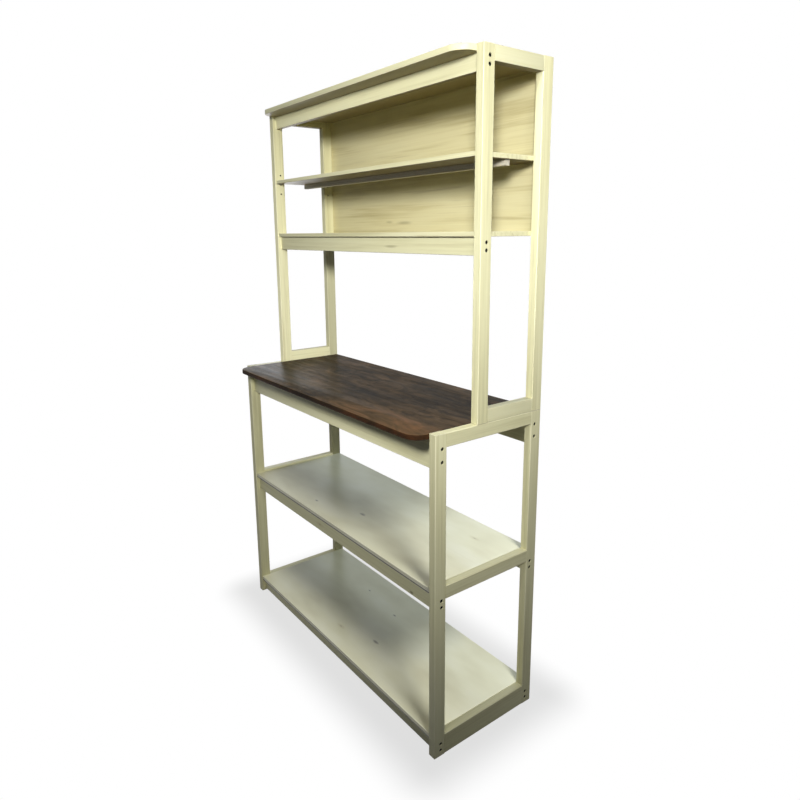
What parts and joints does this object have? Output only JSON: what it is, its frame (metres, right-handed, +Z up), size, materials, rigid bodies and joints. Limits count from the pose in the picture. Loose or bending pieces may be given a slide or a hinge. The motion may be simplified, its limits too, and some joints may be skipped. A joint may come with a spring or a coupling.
{
  "type": "potting bench",
  "caption": "Free-standing work bench with open shelves below the worktop and a narrower shelved hutch with a part-height back panel above it.",
  "frame": {"origin": "centre of the footprint of the whole bench, on the floor", "axes": "+Z up, +Y from the front to the back, +X to the right seen from the front"},
  "size_m": [1.065, 0.423, 1.786],
  "materials": {
    "cream_frame": "whitewashed grain, satin",
    "cream_board": "whitewashed grain, satin",
    "cream_panel": "whitewashed grain, satin",
    "pale_board": "pale worn grain, satin",
    "walnut_board": "dark walnut, semi-gloss",
    "white_batten": "white paint, satin",
    "plain_wood": "bare",
    "dark_screw": "black, satin",
    "bright_pin": "satin"
  },
  "bodies": {
    "bench": {"back_panel": "cream_panel", "base_left_foot_rail": "cream_frame", "base_left_front_post": "cream_frame", "base_left_mid_rail": "cream_frame", "base_left_rear_post": "cream_frame", "base_left_top_rail": "cream_frame", "base_right_foot_rail": "cream_frame", "base_right_front_post": "cream_frame", "base_right_mid_rail": "cream_frame", "base_right_rear_post": "cream_frame", "base_right_top_rail": "cream_frame", "base_screws": "dark_screw", "board_tongues": "plain_wood", "bottom_front_rail": "cream_frame", "bottom_rear_rail": "cream_frame", "bottom_shelf": "pale_board", "front_apron": "cream_frame", "hutch_left_bottom_rail": "cream_frame", "hutch_left_front_post": "cream_frame", "hutch_left_rear_post": "cream_frame", "hutch_left_top_rail": "cream_frame", "hutch_locators": "plain_wood", "hutch_right_bottom_rail": "cream_frame", "hutch_right_front_post": "cream_frame", "hutch_right_rear_post": "cream_frame", "hutch_right_top_rail": "cream_frame", "hutch_screws": "dark_screw", "hutch_shelf": "cream_board", "hutch_shelf_rail": "cream_frame", "mid_front_rail": "cream_frame", "mid_rear_rail": "cream_frame", "mid_shelf": "pale_board", "rear_apron": "cream_frame", "shelf_pins": "bright_pin", "top_board": "cream_board", "top_fascia": "cream_frame", "worktop": "walnut_board"},
    "loose_shelf": {"adjustable_shelf": "cream_board", "shelf_batten": "white_batten"}
  },
  "joints": [
    {"name": "shelf_lift", "type": "slide", "parent": "bench", "child": "loose_shelf", "axis": [0, 0, 1], "range_m": [0, 0.168]}
  ]
}
